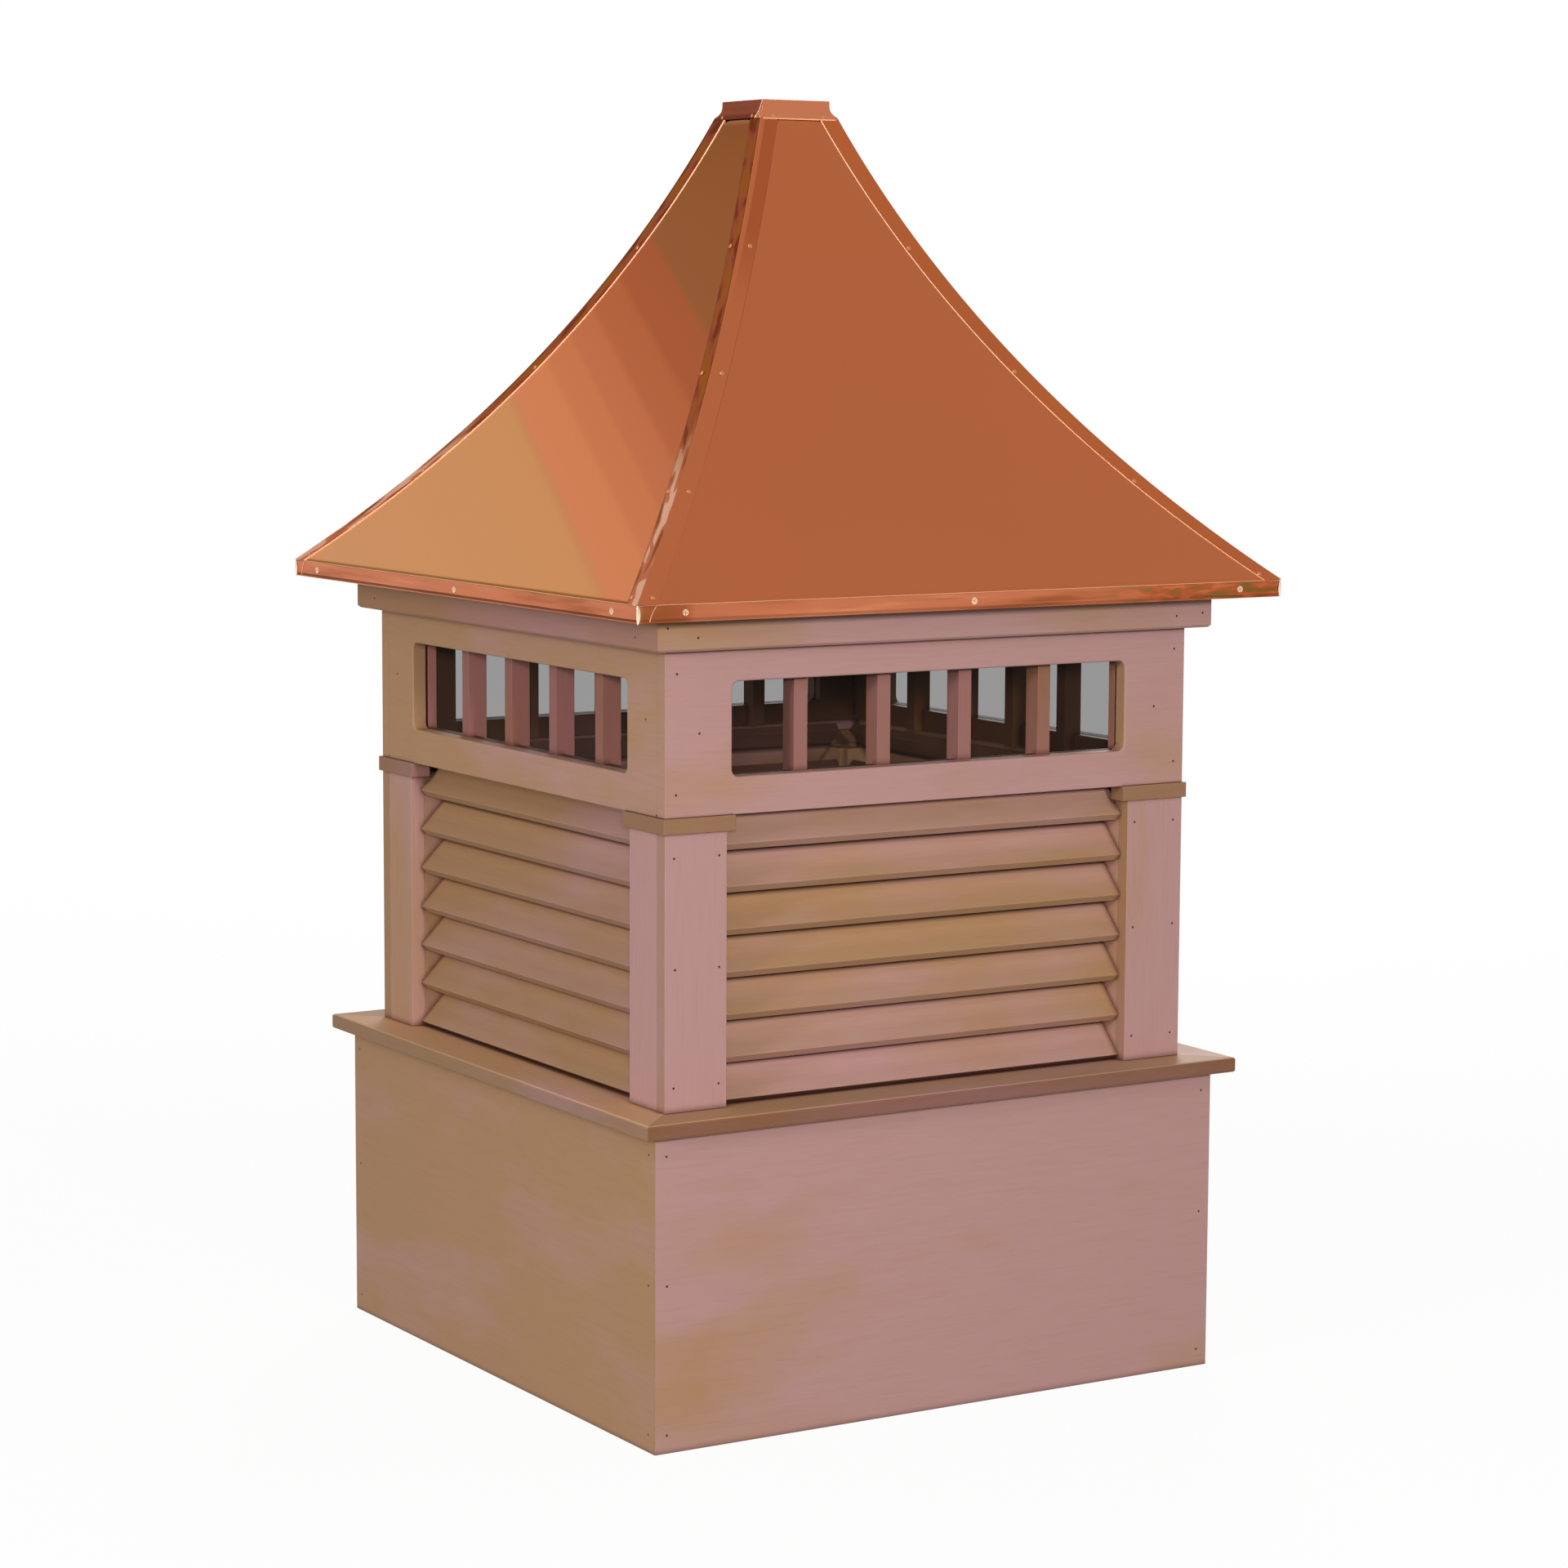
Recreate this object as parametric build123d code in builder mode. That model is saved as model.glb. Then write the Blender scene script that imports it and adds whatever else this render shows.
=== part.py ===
"""A square roof cupola: a board base, a louvred body, a window band and a flared copper roof."""

from build123d import *
from math import cos, radians, sin, sqrt
import os

os.makedirs("parts", exist_ok=True)

# Stock and clearance
board = 19.05  # thickness of every trim board
sheet = 1.2  # thickness of every copper sheet
fit = 0.3  # clearance where curved sheets lie over each other

# Louvred body, square, with a post at each corner
body_half = 381.0
post_face = 85.5  # width of a post on each of its two faces
post_height = 335.4

# Base box, from the ground up to the sill
base_out = 30.5  # past the body
base_height = 387.0

# Sill, a mitred ledge round the top of the base
sill_out = 22.5  # past the base
sill_in = 4.0  # past the louvres, on the inside
sill_ease = 3.0

# Post caps
cap_proud = 4.0
cap_past_post = 10.0

# Louvres
slat_thick = 12.7
slat_width = 76.2
slat_angle = 45.0
slat_pitch = 51.8
slat_count = 7
slat_recess = 13.0  # from the face of the posts back to the slats' front edges
slat_below_cap = 18.2  # from the underside of the post caps down to the top slat's front edge
jamb_thick = 19.05
jamb_past_slat = 1.0

# Window band
transom_height = 241.3
window_half = 288.5
window_height = 114.3
window_above_cap = 45.0
window_corner = 9.5
window_ease = 2.5
screen_thick = 3.2

# Inner window frame with its upright bars
frame_rail = 28.5
frame_thick = 12.7
bar_width = 19.05
bar_depth = 26.0
bar_pitch = 119.5
bar_count = 4

# Fascia under the eave
fascia_thick = 24.0
fascia_height = 42.0
fascia_chamfer = 3.0

# Copper roof
eave_out = 85.0  # past the body
eave_top_flange = 18.0
eave_return = 12.0
deck_thick = 19.05
roof_height = 580.0  # from the eave up to the top of the panels
roof_radius = 1603.0
hip_flange = 27.0  # plan width of each flange of a hip cap
rib_thick = 19.05

# Collar that closes the top
collar_half = 50.2
collar_spread = 5.6  # from the collar's band out to the top of the panels
collar_band = 10.0
collar_height = 23.6
collar_lap = 2.5

# Heights that follow
sill_top = base_height + board
post_top = sill_top + post_height
cap_top = post_top + board
transom_top = cap_top + transom_height
window_mid = cap_top + window_above_cap + window_height / 2
deck_top = transom_top + deck_thick
eave_top = deck_top + sheet
roof_top = eave_top + roof_height
collar_foot = roof_top - collar_lap
collar_top = collar_foot + collar_height

# Half widths that follow, from the centre of the cupola
base_half = body_half + base_out
sill_half = base_half + sill_out
eave_half = body_half + eave_out
body_inner = body_half - board
post_inner = body_half - post_face
frame_front = body_inner - screen_thick
frame_half = frame_front - frame_thick - fit
king_post_half = collar_half - sheet - fit
roof_foot_half = eave_half - sheet / 2
roof_top_half = collar_half + collar_spread

# Slat section that follows
slat_run = slat_width * cos(radians(slat_angle))
slat_rise = slat_width * sin(radians(slat_angle))
nose_run = slat_thick * sin(radians(slat_angle))
nose_drop = slat_thick * cos(radians(slat_angle))
nose_half = body_half - slat_recess
slat_back_half = nose_half - slat_run - nose_run
jamb_back_half = slat_back_half - jamb_past_slat

SIDES = {"front": 0, "right": 90, "back": 180, "left": 270}
CORNERS = {"front_left": 0, "front_right": 90, "back_right": 180, "back_left": 270}


def mitred_plan(height, outer, inner):
    """Plan of a front board whose ends are mitred at the corners."""
    with BuildSketch(Plane.XY.offset(height)) as plan:
        with BuildLine():
            Polyline((-outer, -outer), (outer, -outer), (inner, -inner), (-inner, -inner), close=True)
        make_face()
    return plan.sketch


# Base: four mitred panels, open at the top and at the bottom
with BuildPart() as base_panel:
    extrude(mitred_plan(0, base_half, base_half - board), amount=base_height)

# Sill: four mitred boards with eased outer edges, wide enough to carry the louvres
with BuildPart() as sill:
    extrude(mitred_plan(base_height, sill_half, jamb_back_half - sill_in), amount=board)
    fillet(sill.faces().sort_by(Axis.Y)[0].edges().filter_by(Axis.X), radius=sill_ease)

# Corner post: a board that shows its full width on the front or back, and a narrower one beside it
with BuildPart() as post_face_board:
    with BuildSketch(Plane.XY.offset(sill_top)):
        with Locations((-body_half, -body_half)):
            Rectangle(post_face, board, align=(Align.MIN, Align.MIN))
    extrude(amount=post_height)

with BuildPart() as post_side_board:
    with BuildSketch(Plane.XY.offset(sill_top)):
        with Locations((-body_half, -body_inner)):
            Rectangle(board, post_face - board, align=(Align.MIN, Align.MIN))
    extrude(amount=post_height)

# Post cap: an L-shaped ledge over both boards of a corner post
cap_out = body_half + cap_proud
cap_in = body_inner - cap_proud
cap_end = post_inner - cap_past_post
with BuildPart() as post_cap:
    with BuildSketch(Plane.XY.offset(post_top)):
        with Locations((-cap_out, -cap_out)):
            Rectangle(cap_out - cap_end, cap_out - cap_end, align=(Align.MIN, Align.MIN))
        with Locations((-cap_in, -cap_in)):
            Rectangle(cap_in, cap_in, align=(Align.MIN, Align.MIN), mode=Mode.SUBTRACT)
    extrude(amount=board)

# Louvre: fixed slats that slope down to the outside, the lowest cut flat where it lies on the sill
with BuildPart() as louvre:
    with BuildSketch(Plane.YZ):
        for n in range(slat_count):
            nose = post_top - slat_below_cap - n * slat_pitch
            with BuildLine():
                Polyline(
                    (-nose_half, nose),
                    (-nose_half + slat_run, nose + slat_rise),
                    (-slat_back_half, nose + slat_rise - nose_drop),
                    (-nose_half + nose_run, nose - nose_drop),
                    close=True,
                )
            make_face()
        with Locations((-body_half, sill_top)):
            Rectangle(2 * slat_width, slat_width, align=(Align.CENTER, Align.MAX), mode=Mode.SUBTRACT)
    extrude(amount=post_inner, both=True)

# Louvre jamb: an upright behind each post, one arm of it for the slats of each side
with BuildPart() as louvre_jamb:
    with BuildSketch(Plane.XY.offset(sill_top)):
        jamb_half = post_inner + jamb_thick
        for across, along in ((jamb_half, body_inner), (body_inner, jamb_half)):
            with Locations((-across, -along)):
                Rectangle(across - jamb_back_half, along - post_inner, align=(Align.MIN, Align.MIN))
                Rectangle(across - post_inner, along - jamb_back_half, align=(Align.MIN, Align.MIN))
    extrude(amount=post_height)


def transom(half_length):
    """A panel of the window band, with one long window that has rounded corners."""
    with BuildPart() as panel:
        with BuildSketch(Plane.XZ.offset(body_inner)):
            with Locations((0, cap_top + transom_height / 2)):
                Rectangle(2 * half_length, transom_height)
            with Locations((0, window_mid)):
                RectangleRounded(2 * window_half, window_height, window_corner, mode=Mode.SUBTRACT)
        extrude(amount=board)
        fillet(panel.faces().sort_by(Axis.Y)[0].inner_wires()[0].edges(), radius=window_ease)
    return panel.part


# Insect screen: held between the window band and the inner frame
frame_height = window_height + 2 * frame_rail
with BuildPart() as screen:
    with BuildSketch(Plane.XZ.offset(frame_front)):
        with Locations((0, window_mid)):
            Rectangle(2 * frame_half, frame_height)
    extrude(amount=screen_thick)

# Inner window frame: rails and stiles of one thickness, with deeper upright bars across them
with BuildPart() as window_frame:
    with BuildSketch(Plane.XZ.offset(frame_front)):
        with Locations((0, window_mid)):
            Rectangle(2 * frame_half, frame_height)
            Rectangle(2 * window_half, window_height, mode=Mode.SUBTRACT)
    extrude(amount=-frame_thick)
    with BuildSketch(Plane.XZ.offset(frame_front)):
        with Locations((0, window_mid)):
            with GridLocations(bar_pitch, 0, bar_count, 1):
                Rectangle(bar_width, frame_height)
    extrude(amount=-bar_depth)

# Fascia: four mitred boards round the top of the window band
with BuildPart() as fascia:
    extrude(mitred_plan(transom_top - fascia_height, body_half + fascia_thick, body_half), amount=fascia_height)
    outer_edges = fascia.faces().sort_by(Axis.Y)[0].edges().filter_by(Axis.X)
    chamfer(outer_edges.sort_by(Axis.Z)[0], length=fascia_chamfer)

# Roof deck: the board that the copper is dressed over
with BuildPart() as roof_deck:
    with BuildSketch(Plane.XY.offset(transom_top)):
        Rectangle(2 * (eave_half - sheet), 2 * (eave_half - sheet))
    extrude(amount=deck_thick)

# Eave band: copper folded round the edge of the deck, from its underside to its top
with BuildPart() as eave_band:
    for low, high, width in (
        (transom_top - sheet, transom_top, eave_return),
        (transom_top, deck_top, sheet),
        (deck_top, eave_top, eave_top_flange),
    ):
        with BuildSketch(Plane.XY.offset(low)):
            Rectangle(2 * eave_half, 2 * eave_half)
            Rectangle(2 * (eave_half - width), 2 * (eave_half - width), mode=Mode.SUBTRACT)
        extrude(amount=high - low)

# The roof's sides follow one arc from the eave to the collar, hollow to the outside,
# so the centre of that arc lies outside the roof and above its middle
chord_half = sqrt((roof_foot_half - roof_top_half) ** 2 + roof_height**2) / 2
centre_off = sqrt(roof_radius**2 - chord_half**2)
arc_centre_half = (roof_foot_half + roof_top_half + centre_off * roof_height / chord_half) / 2
arc_centre_z = (eave_top + roof_top + centre_off * (roof_foot_half - roof_top_half) / chord_half) / 2


def roof_half(height, out):
    """Half width of the roof at a height, on a surface that lies a little outside that of the panels."""
    return arc_centre_half - sqrt((roof_radius - out) ** 2 - (height - arc_centre_z) ** 2)


def roof_section(plane, out, low, high):
    """Section across the whole roof between two heights."""
    heights = (low, (low + high) / 2, high)
    with BuildSketch(plane) as section:
        with BuildLine():
            left = ThreePointArc(*[(-roof_half(height, out), height) for height in heights])
            right = ThreePointArc(*[(roof_half(height, out), height) for height in heights])
            Line(left @ 0, right @ 0)
            Line(left @ 1, right @ 1)
        make_face()
    return section.sketch


def roof_form(out, low, high):
    """Solid form of the whole roof, where its two sections cross."""
    with BuildPart() as form:
        extrude(roof_section(Plane.YZ, out, low, high), amount=2 * eave_half, both=True)
        extrude(roof_section(Plane.XZ, out, low, high), amount=2 * eave_half, both=True, mode=Mode.INTERSECT)
    return form.part


# Roof frame: crossed ribs under the hips, and a king post that carries the collar
rib_length = 2 * sqrt(2) * (eave_half - eave_top_flange - fit) - rib_thick
with BuildPart() as roof_frame:
    with BuildSketch(Plane.XY.offset(deck_top)):
        for angle in (45, 135):
            Rectangle(rib_length, rib_thick, rotation=angle)
        Rectangle(2 * king_post_half, 2 * king_post_half)
    extrude(amount=roof_height)
    add(roof_form(-sheet - fit, deck_top, roof_top), mode=Mode.INTERSECT)
    with BuildSketch(Plane.XY.offset(deck_top)):
        Rectangle(2 * king_post_half, 2 * king_post_half)
    extrude(amount=collar_top - sheet - deck_top)

# Roof panel: one curved sheet, cut along the hips
with BuildPart() as roof_panel:
    extrude(roof_section(Plane.YZ, 0, eave_top, roof_top), amount=eave_half, both=True)
    extrude(roof_section(Plane.YZ, -sheet, eave_top, roof_top), amount=eave_half, both=True, mode=Mode.SUBTRACT)
    with BuildSketch(Plane.XY.offset(eave_top)):
        with BuildLine():
            Polyline((0, -fit), (eave_half, -eave_half - fit), (-eave_half, -eave_half - fit), close=True)
        make_face()
    extrude(amount=roof_height, mode=Mode.INTERSECT)

# Hip cap: a folded copper strip over the joint of two panels
with BuildPart() as hip_cap:
    add(roof_form(sheet + fit, eave_top, roof_top))
    add(roof_form(fit, eave_top, roof_top), mode=Mode.SUBTRACT)
    with BuildSketch(Plane.XY.offset(eave_top)):
        with Locations((-eave_half, -eave_half)):
            Rectangle(2 * sqrt(2) * eave_half, sqrt(2) * hip_flange, rotation=45)
    extrude(amount=roof_height, mode=Mode.INTERSECT)


def collar_section(plane, inset):
    """Section of the collar: a skirt that follows the roof, a hollow curve and an upright band."""
    skirt_out = sheet + 2 * fit
    foot_half = roof_half(collar_foot, skirt_out) + sheet - inset
    bend_half = roof_half(roof_top, skirt_out) + sheet - inset
    band_half = collar_half - inset
    band_low = collar_top - collar_band
    hollow = (band_half + (bend_half - band_half) / 3, (roof_top + band_low) / 2)
    with BuildSketch(plane) as section:
        with BuildLine():
            Line((-foot_half, collar_foot), (foot_half, collar_foot))
            Line((foot_half, collar_foot), (bend_half, roof_top))
            ThreePointArc((bend_half, roof_top), hollow, (band_half, band_low))
            Polyline(
                (band_half, band_low),
                (band_half, collar_top - inset),
                (-band_half, collar_top - inset),
                (-band_half, band_low),
            )
            ThreePointArc((-band_half, band_low), (-hollow[0], hollow[1]), (-bend_half, roof_top))
            Line((-bend_half, roof_top), (-foot_half, collar_foot))
        make_face()
    return section.sketch


def collar_form(inset):
    """Solid form of the collar, or of the space inside it."""
    with BuildPart() as form:
        extrude(collar_section(Plane.YZ, inset), amount=2 * collar_half, both=True)
        extrude(collar_section(Plane.XZ, inset), amount=2 * collar_half, both=True, mode=Mode.INTERSECT)
    return form.part


# Collar: a closed copper cap that sits on the king post and laps the panels
with BuildPart() as collar:
    add(collar_form(0))
    add(collar_form(sheet), mode=Mode.SUBTRACT)


def write(piece, label):
    """Write one named piece."""
    piece.label = label
    export_step(piece, f"parts/{label}.step")


def ring(piece):
    """The four copies of a corner or side piece, as one item."""
    return Compound([piece.rotate(Axis.Z, angle) for angle in CORNERS.values()])


for name, angle in SIDES.items():
    write(base_panel.part.rotate(Axis.Z, angle), f"base_panel_{name}")
    write(sill.part.rotate(Axis.Z, angle), f"sill_{name}")
    write(louvre.part.rotate(Axis.Z, angle), f"louvre_{name}")
    write(window_frame.part.rotate(Axis.Z, angle), f"window_frame_{name}")
    write(fascia.part.rotate(Axis.Z, angle), f"fascia_{name}")
    write(roof_panel.part.rotate(Axis.Z, angle), f"roof_panel_{name}")

# The window band's front and back panels run through to the corners, and the side panels fit between
for name, half_length in (("front", body_half), ("right", body_inner), ("back", body_half), ("left", body_inner)):
    write(transom(half_length).rotate(Axis.Z, SIDES[name]), f"transom_{name}")

# The corner posts are mirrored, because their full-width boards all face the front or the back
for row, along in (("front", 1), ("back", -1)):
    for end, across in (("left", 1), ("right", -1)):
        for kind, post in (("face", post_face_board.part), ("side", post_side_board.part)):
            piece = post if across > 0 else post.mirror(Plane.YZ)
            write(piece if along > 0 else piece.mirror(Plane.XZ), f"post_{kind}_{row}_{end}")

write(ring(post_cap.part), "post_caps")
write(ring(louvre_jamb.part), "louvre_jambs")
write(ring(screen.part), "window_screens")
write(ring(hip_cap.part), "hip_caps")
write(roof_deck.part, "roof_deck")
write(eave_band.part, "eave_band")
write(roof_frame.part, "roof_frame")
write(collar.part, "collar")
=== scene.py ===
import bmesh
import bpy
from math import asin, cos, pi, radians, sin, sqrt
from mathutils import Matrix, Vector, noise


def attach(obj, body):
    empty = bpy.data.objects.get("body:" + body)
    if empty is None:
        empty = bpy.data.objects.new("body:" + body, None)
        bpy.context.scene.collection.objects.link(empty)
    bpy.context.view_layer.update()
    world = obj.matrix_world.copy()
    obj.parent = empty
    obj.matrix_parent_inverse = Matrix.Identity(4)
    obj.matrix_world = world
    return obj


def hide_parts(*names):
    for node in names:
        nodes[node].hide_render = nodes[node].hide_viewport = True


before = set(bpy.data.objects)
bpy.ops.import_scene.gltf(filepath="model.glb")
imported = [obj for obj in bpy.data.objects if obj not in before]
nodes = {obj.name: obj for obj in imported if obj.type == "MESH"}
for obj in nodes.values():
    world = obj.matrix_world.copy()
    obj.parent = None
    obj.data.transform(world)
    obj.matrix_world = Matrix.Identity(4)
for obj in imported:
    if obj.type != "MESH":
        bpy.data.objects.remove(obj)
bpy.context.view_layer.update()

# BASE BOX
# Four boards on edge, mitred at the corners and nailed, that are cut to the roof's slope on site.
# They are smooth clear softwood, left bare, whose tone wanders between tan and rose.

mm = 0.001
SIDES = {"front": 0, "right": 90, "back": 180, "left": 270}
ALONG_X, ALONG_Y = ("front", "back"), ("left", "right")
base_half = 411.5 * mm


def paint(red, green, blue):
    """A colour as it is read off a paint card, for a shader socket."""
    shares = [c / 255 for c in (red, green, blue)]
    return tuple(((s + 0.055) / 1.055) ** 2.4 if s > 0.04 else s / 12.92 for s in shares) + (1.0,)


def feed(tree, step, values):
    """Gives a node's inputs their values; a value may be the output of another node."""
    for name, value in values.items():
        if isinstance(value, bpy.types.NodeSocket):
            tree.links.new(value, step.inputs[name])
        else:
            step.inputs[name].default_value = value
    return step


def make(tree, kind, values):
    """A new node of this kind, with the values of its inputs."""
    return feed(tree, tree.nodes.new(kind), values)


def shader(name, values):
    """A new material with its node tree and its main shader, which gets these values."""
    finish = bpy.data.materials.new(name)
    finish.use_nodes = True
    tree = finish.node_tree
    return finish, tree, feed(tree, tree.nodes["Principled BSDF"], values)


def coordinates(tree, kind="Object"):
    """The coordinates of this kind."""
    return tree.nodes.new("ShaderNodeTexCoord").outputs[kind]


def place(tree, stretch):
    """Object coordinates, stretched along a piece's grain."""
    turn = make(tree, "ShaderNodeMapping", {"Vector": coordinates(tree), "Scale": stretch})
    return turn.outputs["Vector"]


def cloud(tree, vector, scale, detail=3.0, rough=0.5):
    """Noise, as a value from 0 to 1."""
    values = {"Vector": vector, "Scale": scale, "Detail": detail, "Roughness": rough}
    return make(tree, "ShaderNodeTexNoise", values).outputs["Fac"]


def ramp(tree, value, stops):
    """A colour ramp through (position, colour) stops."""
    band = make(tree, "ShaderNodeValToRGB", {"Fac": value})
    points = band.color_ramp.elements
    while len(points) < len(stops):
        points.new(0.5)
    for point, (position, colour) in zip(points, stops):
        point.position = position
        point.color = colour
    return band.outputs["Color"]


def blend(tree, share, first, second, kind="MIX"):
    """Two colours mixed by a share; each may be a colour or a socket."""
    # Of this node's sockets, 6, 7 and output 2 are the ones for colours.
    mix = tree.nodes.new("ShaderNodeMix")
    mix.data_type = "RGBA"
    mix.blend_type = kind
    return feed(tree, mix, {0: share, 6: first, 7: second}).outputs[2]


def emboss(tree, height, depth, strength):
    """Normals bumped by a height value."""
    values = {"Height": height, "Distance": depth, "Strength": strength}
    return make(tree, "ShaderNodeBump", values).outputs["Normal"]


GRAIN = {"x": (0.06, 1.0, 1.0), "y": (1.0, 0.06, 1.0), "z": (1.0, 1.0, 0.06)}
WHITE = (1, 1, 1, 1)


def timber(name, grain, rose, shade=1.0):
    """Bare smooth boards with the grain along one axis and painted shade in their joints and crevices.

    rose is the share of the rosy tone; shade, a number or three, dims or lifts the whole, as the wood's own
    tone on some finishes and as painted light and shade on others.
    """
    shade = shade if isinstance(shade, tuple) else (shade,) * 3
    finish, tree, main = shader(name, {"Roughness": 0.62, "Specular IOR Level": 0.3})
    along = place(tree, GRAIN[grain])
    loose = place(tree, tuple(0.35 if s < 1 else 1.0 for s in GRAIN[grain]))
    patches = cloud(tree, loose, 4.5, 4.0, 0.55)
    middle = 0.62 - 0.24 * rose
    tan, rosy = paint(168, 130, 95), paint(178, 138, 133)
    tones = ramp(tree, patches, ((max(middle - 0.10, 0.0), tan), (min(middle + 0.10, 1.0), rosy)))
    fibre = cloud(tree, along, 300.0, 3.0, 0.6)
    lines = ramp(tree, fibre, ((0.30, (0.96, 0.95, 0.945, 1)), (0.5, WHITE), (0.72, (1.02, 1.02, 1.02, 1))))
    toned = blend(tree, 1.0, tones, lines, "MULTIPLY")
    darker = blend(tree, 1.0, toned, shade + (1,), "MULTIPLY")
    # Ambient occlusion darkens the wood in joints, corners and crevices: painted shade.
    crevice_occlusion = make(tree, "ShaderNodeAmbientOcclusion", {"Distance": 14 * mm})
    crevice_occlusion.samples = 8
    painted_crevice_shade = ramp(tree, crevice_occlusion.outputs["AO"], (
        (0.1, (0.2, 0.13, 0.12, 1)), (0.45, (0.42, 0.33, 0.32, 1)), (0.8, WHITE),
    ))
    crevice_shaded = blend(tree, 1.0, darker, painted_crevice_shade, "MULTIPLY")
    feed(tree, main, {"Base Color": crevice_shaded, "Normal": emboss(tree, fibre, 0.1 * mm, 0.25)})
    return finish


rose_x = timber("rose boards along x", "x", 1.05)
# The side boards are lit and shaded copies of one wood: the tan ones painted lighter, as painted light, and
# the rose ones of the side fascias painted darker, as painted shade.
painted_shade_rose_y = timber("rose boards along y, painted shade", "y", 0.4, (0.98, 0.88, 0.86))
painted_lit_tan_y = timber("tan boards along y, painted lit", "y", 0.0, 1.1)


def as_mesh(form, name):
    """The finished form as a mesh."""
    mesh = bpy.data.meshes.new(name)
    form.to_mesh(mesh)
    form.free()
    return mesh


def put_in(name, data):
    """An object of this mesh, lamp or camera, put into the scene."""
    thing = bpy.data.objects.new(name, data)
    bpy.context.scene.collection.objects.link(thing)
    return thing


def eased(node, piece, ease, finish, others=()):
    """A board as cut, its edges eased by sandpaper; others are finishes with the ways their faces look."""
    form = bmesh.new()
    form.from_mesh(nodes[node].data)
    bmesh.ops.remove_doubles(form, verts=form.verts, dist=0.01 * mm)
    bmesh.ops.dissolve_limit(form, angle_limit=radians(1), verts=form.verts, edges=form.edges)
    bmesh.ops.recalc_face_normals(form, faces=form.faces)
    sharp = [e for e in form.edges if len(e.link_faces) == 2 and e.calc_face_angle() > radians(40)]
    bmesh.ops.bevel(form, geom=sharp, offset=ease, segments=2, profile=0.5, affect="EDGES",
                    clamp_overlap=True)
    mesh = as_mesh(form, piece)
    mesh.materials.append(finish)
    for number, (other, ways) in enumerate(others, 1):
        mesh.materials.append(other)
        for face in mesh.polygons:
            if max(face.normal.dot(Vector(way)) for way in ways) > 0.8:
                face.material_index = number
    board = put_in(piece, mesh)
    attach(board, "root")
    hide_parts(node)


for side in SIDES:
    finish = rose_x if side in ALONG_X else painted_lit_tan_y
    eased(f"base_panel_{side}", f"base_board_{side}", 0.7 * mm, finish)

# NAILS OF THE BASE
# Small finishing nails, set flush and a little rusty, that hold each corner of the base box.
# One tree of geometry nodes sets every head of the cupola, each turned at random about its axis.


def new_tree(name, inputs):
    """A geometry tree and its input node; each input is a name, a kind of socket and a value."""
    tree = bpy.data.node_groups.new(name, "GeometryNodeTree")
    tree.interface.new_socket("Geometry", in_out="OUTPUT", socket_type="NodeSocketGeometry")
    for title, kind, value in (("Geometry", "Geometry", None),) + inputs:
        item = tree.interface.new_socket(title, in_out="INPUT", socket_type="NodeSocket" + kind)
        if value is not None:
            item.default_value = value
    return tree, tree.nodes.new("NodeGroupInput").outputs


def dress_tree(tree, given, shape):
    """The end of a geometry tree: the shape made real, and given its finish."""
    real = make(tree, "GeometryNodeRealizeInstances", {"Geometry": shape})
    values = {"Geometry": real.outputs["Geometry"], "Material": given["Finish"]}
    dress = make(tree, "GeometryNodeSetMaterial", values)
    make(tree, "NodeGroupOutput", {"Geometry": dress.outputs["Geometry"]})
    return tree


def head_tree():
    """Geometry nodes: a head on each point, its axis along the point's facing."""
    tree, given = new_tree("set heads", (
        ("Head", "Object", None),
        ("Head size", "Float", 1.0),
        ("Finish", "Material", None),
        ("Seed", "Int", 7),
    ))
    head = make(tree, "GeometryNodeObjectInfo", {"Object": given["Head"]})
    facing = make(tree, "GeometryNodeInputNamedAttribute", {"Name": "facing"})
    facing.data_type = "FLOAT_VECTOR"
    align = make(tree, "FunctionNodeAlignRotationToVector", {"Vector": facing.outputs["Attribute"]})
    align.axis = "Z"
    # Of this node's sockets, 3 is the upper limit and output 1 the result for plain numbers.
    chance = make(tree, "FunctionNodeRandomValue", {3: 2 * pi, "Seed": given["Seed"]})
    chance.data_type = "FLOAT"
    spin = make(tree, "FunctionNodeAxisAngleToRotation", {"Axis": (0, 0, 1), "Angle": chance.outputs[1]})
    turns = {"Rotation": align.outputs["Rotation"], "Rotate By": spin.outputs["Rotation"]}
    turn = make(tree, "FunctionNodeRotateRotation", turns)
    turn.rotation_space = "LOCAL"
    put = make(tree, "GeometryNodeInstanceOnPoints", {
        "Points": given["Geometry"],
        "Instance": head.outputs["Geometry"],
        "Rotation": turn.outputs["Rotation"],
        "Scale": given["Head size"],
    })
    return dress_tree(tree, given, put.outputs["Instances"])


set_heads = head_tree()


def grown(piece, start, tree, values):
    """The plain mesh that a geometry tree makes of a starting mesh."""
    seedling = put_in(piece + "_start", start)
    grower = seedling.modifiers.new("tree", "NODES")
    grower.node_group = tree
    for item in tree.interface.items_tree:
        if item.item_type == "SOCKET" and item.in_out == "INPUT" and item.name in values:
            grower[item.identifier] = values[item.name]
    seen = seedling.evaluated_get(bpy.context.evaluated_depsgraph_get())
    mesh = bpy.data.meshes.new_from_object(seen)
    mesh.name = piece
    seedling.modifiers.remove(grower)
    bpy.data.objects.remove(seedling)
    return put_in(piece, mesh)


cross_depth = 0.9 * mm


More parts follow.
